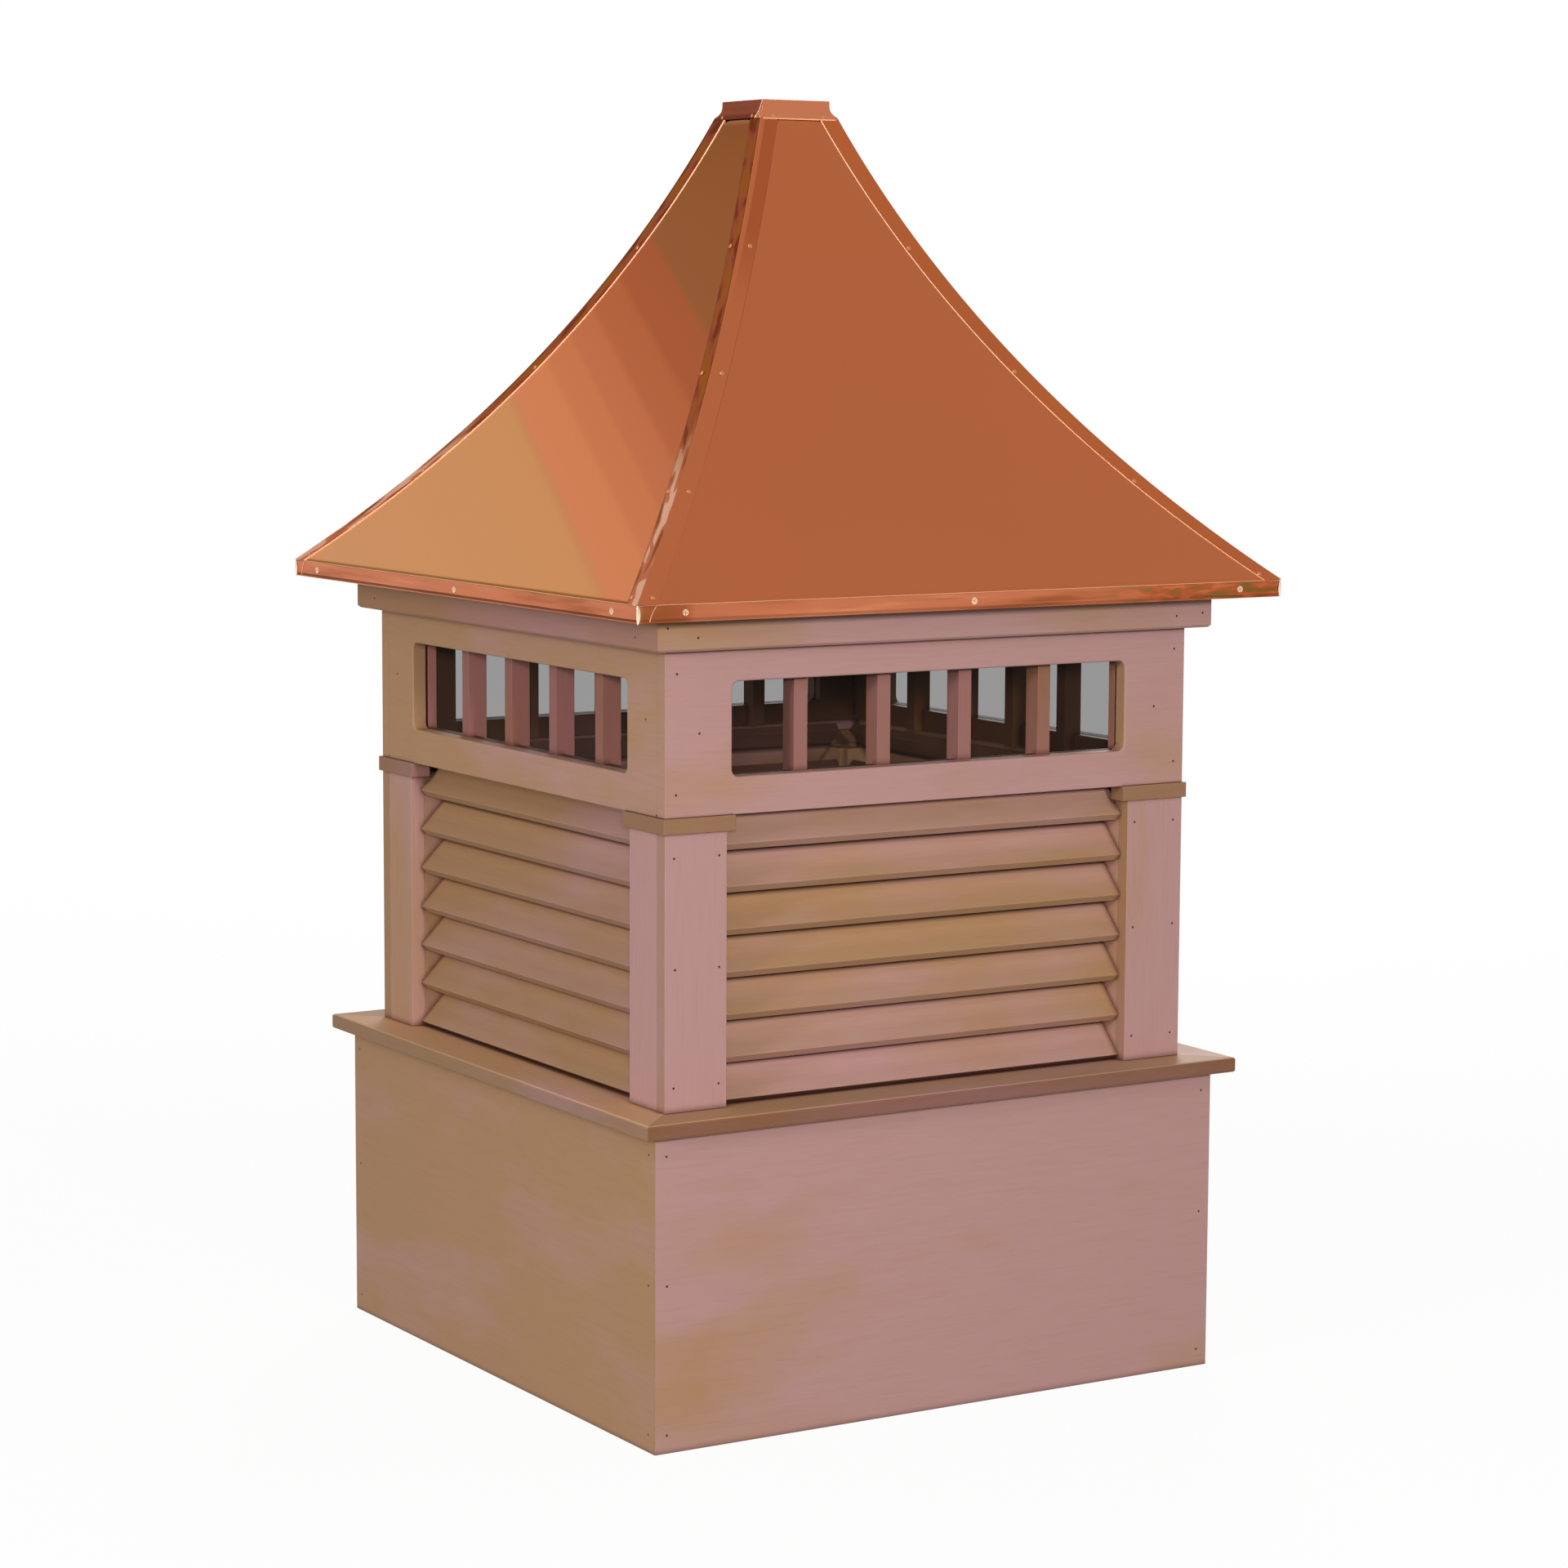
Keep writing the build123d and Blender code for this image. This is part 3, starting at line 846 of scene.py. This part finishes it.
rivet_copper = copper("rivet copper", paint(228, 152, 102), 0.28, 0.05)
rivet_head = turned_head("rivet head", (
    (3.3, -0.6), (3.3, 0.1), (2.9, 0.55), (2.1, 1.0), (1.1, 1.25), (0, 1.32)), 14)
rivet_heights = (1437 * mm, 1281.5 * mm, 1144.5 * mm, 1030 * mm)
rivets = []
for height in rivet_heights:
    out = roof_half(height, sheet)
    slope = asin((arc_centre_z - height) / roof_radius)
    for across in (-out + 17 * mm, out - 20 * mm):
        rivets.append(((across, -out, height), (0, -cos(slope), sin(slope))))
hip_rivets = heads("hip_rivets", all_round(rivets), rivet_head, rivet_copper)
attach(hip_rivets, "root")

# EAVE BAND
# A copper strip folded round the deck's edge, with a thick hem at its top and at its bottom.
# Its face is a little wavy from the folding, and each corner is closed by a folded ear.

eave_low = 1000.6 * mm


def streaked_copper():
    """Copper of the folded strip: level streaks from the rollers, darker towards its ends."""
    finish, tree, main = shader("eave copper", {
        "Roughness": 0.12, "Metallic": 1.0, "Specular Tint": (0.97, 0.86, 0.78, 1)})
    streaks = cloud(tree, place(tree, (1.0, 1.0, 14.0)), 5.0, 3.0, 0.5)
    tone = ramp(tree, streaks, (
        (0.33, paint(168, 92, 54)), (0.44, paint(194, 111, 75)),
        (0.60, paint(201, 118, 82)), (0.72, paint(215, 134, 90)),
    ))
    across = axes_of(tree, coordinates(tree))["X"]
    darker_to_the_ends = ramp(tree, arithmetic(tree, "ABSOLUTE", across), (
        (390 * mm, WHITE), (402 * mm, (0.7, 0.6, 0.54, 1)), (430 * mm, (0.6, 0.54, 0.4, 1)),
        (460 * mm, (0.62, 0.6, 0.4, 1)), (463 * mm, WHITE),
    ))
    tone = blend(tree, 1.0, tone, darker_to_the_ends, "MULTIPLY")
    spots = cloud(tree, place(tree, (1.0, 1.0, 5.0)), 26.0, 2.5, 0.55)
    stained = ramp(tree, spots, (
        (0.40, paint(128, 92, 42)), (0.50, paint(172, 84, 46)), (0.62, paint(196, 104, 62)),
    ))
    clean, mostly = (0, 0, 0, 1), (0.9, 0.9, 0.9, 1)
    right_end = ramp(tree, across, (
        (160 * mm, clean), (280 * mm, mostly), (462 * mm, mostly), (464 * mm, clean),
    ))
    tone = blend(tree, right_end, tone, stained)
    feed(tree, main, {"Base Color": tone, "Normal": emboss(tree, streaks, 0.5 * mm, 0.12)})
    return finish


band_copper = streaked_copper()


def band_ring():
    """Rows round the eave, from the return under the deck to the edge of the top flange."""
    # Its section, as (distance in from the eave's edge, rise from its foot) in mm.
    outline = (
        (12.0, 0.9), (11.8, 0.1), (6.0, 0.0), (2.0, 0.0), (0.9, 0.1), (0.2, 0.5), (0.05, 1.1), (0.1, 1.9),
        (0.4, 2.4), (0.6, 2.8), (0.6, 5.0), (0.6, 8.0), (0.6, 11.0), (0.6, 14.0), (0.6, 17.0), (0.5, 18.9),
        (0.25, 19.9), (0.3, 20.6), (0.7, 21.1), (1.3, 21.3), (3.0, 21.35), (9.0, 21.2), (17.6, 21.2),
        (18.0, 20.9),
    )
    at_the_seam = [13.0 + 0.75 * k for k in range(18)]
    insets = [0.0, 1.0, 2.5, 4.0, 6.0, 8.0, 10.0, 12.0] + at_the_seam + [29.0, 34.0, 40.0, 50.0]
    rows = []
    for inset, rise in outline:
        row = []
        reach = eave_half - inset * mm
        height = eave_low + rise * mm
        from_left = [-reach + i * mm for i in insets]
        middle = [-reach + 65 * mm + k * (2 * reach - 130 * mm) / 50 for k in range(51)]
        stations = from_left + middle + [-x for x in reversed(from_left[1:])]
        for side in range(4):
            turn = about_z(90 * side)
            for across in stations:
                out = reach
                if 2.3 < rise < 19.5:
                    out += 0.28 * mm * noise.noise(Vector((across * 11, rise * 0.12, side * 7 + 2)))
                    seam = (across + reach) / mm - 14.0 - 0.4 * rise
                    out += 0.25 * mm * min(max(0.5 - seam, 0), 1)
                row.append(turn @ Vector((across, -out, height)))
        rows.append(row)
    return rows


band = sheet_object("copper_eave_band", band_ring(), 0, band_copper, closed=True)
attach(band, "root")
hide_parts("eave_band")


def bead_tree():
    """Geometry nodes: a round bead along each path."""
    tree, given = new_tree("bead along a path", (
        ("Bead radius", "Float", 1 * mm), ("Finish", "Material", None)))
    path = make(tree, "GeometryNodeMeshToCurve", {"Mesh": given["Geometry"]})
    size = {"Resolution": 8, "Radius": given["Bead radius"]}
    ring = make(tree, "GeometryNodeCurvePrimitiveCircle", size)
    sweep = make(tree, "GeometryNodeCurveToMesh", {
        "Curve": path.outputs["Curve"], "Profile Curve": ring.outputs["Curve"], "Fill Caps": True})
    return dress_tree(tree, given, sweep.outputs["Mesh"])


bead_along = bead_tree()


def beads(piece, lines, radius, finish):
    """A round bead along each of these lines of points, as one piece."""
    spots, edges = [], []
    for line in lines:
        edges += [(len(spots) + k, len(spots) + k + 1) for k in range(len(line) - 1)]
        spots += line
    mesh = bpy.data.meshes.new("paths")
    mesh.from_pydata(spots, edges, [])
    bead = grown(piece, mesh, bead_along, {"Bead radius": radius, "Finish": finish})
    bead.data.shade_smooth()
    return bead


def corner_ear():
    """Rows over the folded ear of the front left corner, an almond wrapped round the edge."""
    rows = []
    for i in range(15):
        rise = -1.2 + 23.0 * i / 14
        wide = max(sin(pi * i / 14), 0.0) ** 0.6 + 0.03
        row = []
        for k in range(13):
            share = k / 6 - 1
            along = wide * (3.6 if share > 0 else 2.4) * share
            out = (0.2 + 1.1 * (1 - share * share) * wide) * mm
            if along > 0:
                spot = (-eave_half + along * mm, -eave_half - out)
            elif along < 0:
                spot = (-eave_half - out, -eave_half - along * mm)
            else:
                spot = (-eave_half - 0.75 * out, -eave_half - 0.75 * out)
            row.append((*spot, eave_low + rise * mm))
        rows.append(row)
    return rows


ear_copper = copper("ear copper", paint(255, 232, 200), 0.28, 0.0)
ear_form = bmesh.new()
for angle in SIDES.values():
    ear_form.from_mesh(skin("ear", turned_rows(corner_ear(), angle)))
ears = put_in("eave_corner_ears", as_mesh(ear_form, "eave_corner_ears"))
ears.data.shade_smooth()
ears.data.materials.append(ear_copper)
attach(ears, "root")
hems = []
for angle in SIDES.values():
    turn = about_z(angle)
    reach = eave_half - 0.7 * mm
    for rise in (0.9, 20.8):
        height = eave_low + rise * mm
        hems.append([turn @ Vector((reach * (k / 60 - 1), -reach, height)) for k in range(121)])
    seam = [(16.5 + 8.5 * (k / 12) ** 1.6, 1.5 + 18.5 * k / 12) for k in range(13)]
    face = -eave_half + 0.35 * mm
    hems.append([turn @ Vector((-eave_half + a * mm, face, eave_low + b * mm)) for a, b in seam])
hem_copper = copper("hem copper", paint(255, 204, 162), 0.4, 0.0)
top_hem = beads("eave_hem_and_seams", hems, 0.48 * mm, hem_copper)
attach(top_hem, "root")

# SCREWS OF THE EAVE BAND
# Three pan-head screws a side, of copper, each with a cross recess for the driver.
# Driven through the band into the deck's edge, by hand and not quite in line.

screw_copper = copper("screw copper", paint(255, 214, 176), 0.15, 0.0)
screw_head = turned_head("screw head", (
    (4.9, -0.9), (4.9, 0.1), (4.6, 0.35), (4.0, 0.5), (3.2, 0.62), (2.5, 0.68), (1.8, 0.7), (1.0, 0.7),
    (0, 0.7)), 24, 2.6)
screw_places = (-402 * mm, 0, 403 * mm)
screw_height = 1011.6 * mm
screws = []
for across in screw_places:
    height = screw_height + 2 * mm * noise.noise(Vector((across * 20, 4, 4)))
    screws.append(spot_on("front", across, eave_half - 1.0 * mm, height))
eave_screws = heads("eave_screws", all_round(screws), screw_head, screw_copper)
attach(eave_screws, "root")

# COLLAR
# A square copper cap, closed on top, whose skirt laps over the panels and the hip caps.
# Folded from one sheet with sharp corners, lapped at two of them, and riveted near each lower corner.

collar_half = 50.2 * mm
collar_top = 1623.15 * mm
collar_foot = 1599.55 * mm
collar_copper = copper("collar copper", paint(230, 138, 98), 0.12, 0.04)


def collar_rows():
    """Rows round the collar, from its foot up the hollow skirt and band to the top."""
    bend_half = roof_half(roof_top, sheet + fit) + 0.5 * mm
    rim = [(collar_foot, 0.0), (roof_top, 0.2 * mm)]
    rim = [(roof_half(z, sheet + fit) + extra, z, 1.0) for z, extra in rim]
    for share in (0.03, 0.07, 0.12, 0.18, 0.26, 0.36, 0.48, 0.62, 0.8, 1.0):
        half = collar_half + (bend_half - collar_half) * (1 - share) ** 3.6
        rim.append((half, roof_top + (collar_top - 1.0 * mm - roof_top) * share, (1 - share) ** 3))
    rim += [(collar_half - 0.3 * mm, collar_top - 0.2 * mm, 0), (collar_half - 1.0 * mm, collar_top, 0)]
    rim += [(collar_half * 0.5, collar_top, 0), (1 * mm, collar_top, 0)]
    rows = []
    for half, height, sink in rim:
        corner = min(0.5 * mm, half * 0.3)
        row = []
        for side in range(4):
            turn = about_z(90 * side)
            for share in (0.0, 0.1, 0.22, 0.3, 0.38, 0.5, 0.62, 0.7, 0.78, 0.9, 1.0):
                across = (half - corner) * (2 * share - 1)
                dip = 1.3 * mm * sink * min(max((0.28 - abs(share - 0.5)) / 0.08, 0), 1)
                row.append(turn @ Vector((across, -half + dip, height)))
            for step in (1, 2):
                bend = radians(30 * step)
                spot = (half - corner + corner * sin(bend), -half + corner - corner * cos(bend), height)
                row.append(turn @ Vector(spot))
        rows.append(row)
    return rows


whole_collar = collar_rows()
collar = sheet_object("copper_collar", whole_collar, 0, collar_copper, closed=True)
# The collar's side faces have their own darker copper, a painted reflection, and are darker still towards
# the foot.
painted_reflection_side_copper = copper("collar copper, sides, painted reflection", paint(198, 113, 87), 0.32, 0.04, tint=(0.8, 0.5, 0.4, 1))
darken_past_bounds(painted_reflection_side_copper, (0.42, 0.42, 0.52, 1), (upward, 1612 * mm, 1604 * mm))
collar.data.materials.append(painted_reflection_side_copper)
for face in collar.data.polygons:
    face.material_index = int(abs(face.normal.x) > abs(face.normal.y) + 0.1)
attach(collar, "root")
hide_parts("collar")
folds, hems = [], []
for corner, way in (("front_left", 1), ("back_right", -1)):
    rows = []
    for row in whole_collar[:-4]:
        share = max((collar_top - row[0].z) / (collar_top - collar_foot), 0.02)
        spots = [row[0] + Vector((-0.35 * mm, 0.2 * mm + k * 4.3 * mm * share, 0)) for k in range(4)]
        rows.append([Vector((way * p.x, way * p.y, p.z)) for p in spots])
    edge = [row[-1] for row in rows]
    for step, count in ((0, len(edge)), (0.7, 7), (1.3, 4)):
        folds.append([p + Vector((0, way * step * mm, 0)) for p in edge[:count]])
    lap = sheet_object(f"collar_lap_{corner}", rows, 0.2 * mm, collar_copper)
    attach(lap, "root")
foot = roof_half(collar_foot, sheet + fit)
for mirror in (1, -1):
    for drop in (0.3, 1.0):
        hem = []
        for share in (-0.93, -0.6, -0.48, 0, 0.48, 0.6, 0.93):
            dip = 0.8 * mm if abs(share) < 0.5 else 0.0
            hem.append(Vector((share * foot, mirror * (-foot + dip), collar_foot - drop * mm)))
        hems.append(hem)
# Pale and nearly matt, a painted highlight along the hems at the collar's foot.
painted_highlight_foot_copper = copper("collar foot copper, painted highlight", paint(255, 196, 150), 0.55, 0.0, metallic=0.2)
collar_hems = beads("collar_hems", hems, 0.5 * mm, painted_highlight_foot_copper)
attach(collar_hems, "root")
collar_folds = beads("collar_folds", folds, 0.6 * mm, ear_copper)
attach(collar_folds, "root")
collar_rivet_height = 1602.6 * mm
reach = roof_half(collar_rivet_height, sheet + fit) + 0.4 * mm
collar_rivets = []
for across in (-38 * mm, 36 * mm):
    collar_rivets.append(((across, -reach, collar_rivet_height), (0, -0.97, 0.24)))
collar_rivets = heads("collar_rivets", all_round(collar_rivets), rivet_head, rivet_copper, 0.72)
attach(collar_rivets, "root")
for head in (nail_head, rivet_head, screw_head):
    bpy.data.objects.remove(head)

# STUDIO
# A white floor and room, and five soft lamps: two in front, two on the left and one behind.
# The camera stands at eye height, well off to the left of the front.

# Seen straight or in the copper the floor glows almost white; for the light it is a grey board.
floor_paint, tree, main = shader("floor paint", {"Roughness": 0.9})
path = tree.nodes.new("ShaderNodeLightPath").outputs
feed(tree, main, {"Base Color": blend(tree, path["Is Camera Ray"], (0.2, 0.2, 0.2, 1), WHITE)})
away = make(tree, "ShaderNodeVectorMath", {0: coordinates(tree)})
away.operation = "LENGTH"
paler = remapped(tree, away.outputs["Value"], 1.5, 5.0, 0.94, 1.0)
either = arithmetic(tree, "MAXIMUM", path["Is Camera Ray"], path["Is Glossy Ray"])
mix = make(tree, "ShaderNodeMixShader", {
    "Fac": arithmetic(tree, "MULTIPLY", either, paler),
    1: main.outputs["BSDF"],
    2: tree.nodes.new("ShaderNodeEmission").outputs["Emission"],
})
feed(tree, tree.nodes["Material Output"], {"Surface": mix.outputs["Shader"]})
wide = 40.0
floor_height = -0.5 * mm
mesh = bpy.data.meshes.new("studio_floor")
mesh.from_pydata([(x * wide, y * wide, floor_height) for x, y in ((-1, -1), (1, -1), (1, 1), (-1, 1))],
                 [], [(0, 1, 2, 3)])
mesh.materials.append(floor_paint)
board = put_in("studio_floor", mesh)

room = bpy.data.worlds.new("room")
bpy.context.scene.world = room
room.use_nodes = True
tree = room.node_tree
tree.nodes.clear()
where = coordinates(tree, "Generated")
# The room as the copper shows it: grey, warm high on the left, a bright and a dark patch low behind.
tone = (0.68, 0.68, 0.68, 1)
for aim, near, far, colour in (
    ((-0.60, -0.27, 0.72), 0.93, 0.80, (1.15, 1.05, 0.9, 1)),
    ((0.60, 0.78, 0.12), 0.97, 0.90, (1.4, 1.4, 1.4, 1)),
    ((-0.55, 0.83, 0.16), 0.99, 0.93, (0.3, 0.3, 0.3, 1)),
):
    toward = reach_along(tree, where, Vector(aim).normalized())
    tone = blend(tree, remapped(tree, toward, far, near, smooth=True), tone, colour)
shown = make(tree, "ShaderNodeBackground", {"Color": tone})
# For what is matt it is dimmer, least bright from high up, and where it is seen it is plain white.
dimming = remapped(tree, reach_along(tree, where, upward), 0.3, 0.9, 0.46, 0.24)
lit = make(tree, "ShaderNodeBackground", {"Color": (1.0, 0.98, 0.96, 1), "Strength": dimming})
seen = make(tree, "ShaderNodeBackground", {"Color": WHITE})
path = tree.nodes.new("ShaderNodeLightPath").outputs
first = make(tree, "ShaderNodeMixShader", {
    "Fac": path["Is Glossy Ray"], 1: lit.outputs["Background"], 2: shown.outputs["Background"]})
second = make(tree, "ShaderNodeMixShader", {
    "Fac": path["Is Camera Ray"], 1: first.outputs["Shader"], 2: seen.outputs["Background"]})
make(tree, "ShaderNodeOutputWorld", {"Surface": second.outputs["Shader"]})

body_middle = Vector((0, 0, 0.8))


def lamp(name, place_at, size, power, colour):
    """A soft square lamp that shines at the middle of the body."""
    data = bpy.data.lights.new(name, "AREA")
    data.size = size
    data.energy = power
    data.color = colour
    light = put_in(name, data)
    light.location = place_at
    light.rotation_euler = (body_middle - Vector(place_at)).to_track_quat("-Z", "Y").to_euler()
    return light


cool, warm = (1.0, 0.985, 0.98), (1.0, 0.98, 0.96)
lamp("front lamp", (-0.6, -5.6, 1.95), 0.5, 120, cool).visible_glossy = False
lamp("corner lamp", (-2.9, -4.9, 1.8), 0.5, 84, cool).visible_glossy = False
lamp("left lamp", (-5.4, -1.8, 1.75), 0.7, 92, cool)
lamp("high left lamp", (-4.4, -1.4, 4.2), 2.4, 20, warm)
lamp("back lamp", (3.4, 4.6, 2.2), 2.0, 110, warm)

yaw, pitch, roll = radians(31.502), radians(6.864), radians(0.265)
ahead = Vector((sin(yaw) * cos(pitch), cos(yaw) * cos(pitch), -sin(pitch)))
right = Vector((cos(yaw), -sin(yaw), 0))
up = right.cross(ahead)
right, up = cos(roll) * right + sin(roll) * up, cos(roll) * up - sin(roll) * right
eye = Vector((-2.7149, -4.4580, 1.3685))
lens = bpy.data.cameras.new("camera")
lens.sensor_width = 36.0
lens.lens = 92.05125
lens.clip_end = 200.0
camera = put_in("camera", lens)
camera.matrix_world = Matrix.Translation(eye) @ Matrix((right, up, -ahead)).transposed().to_4x4()
bpy.context.scene.camera = camera
bpy.context.scene.view_settings.view_transform = "Standard"
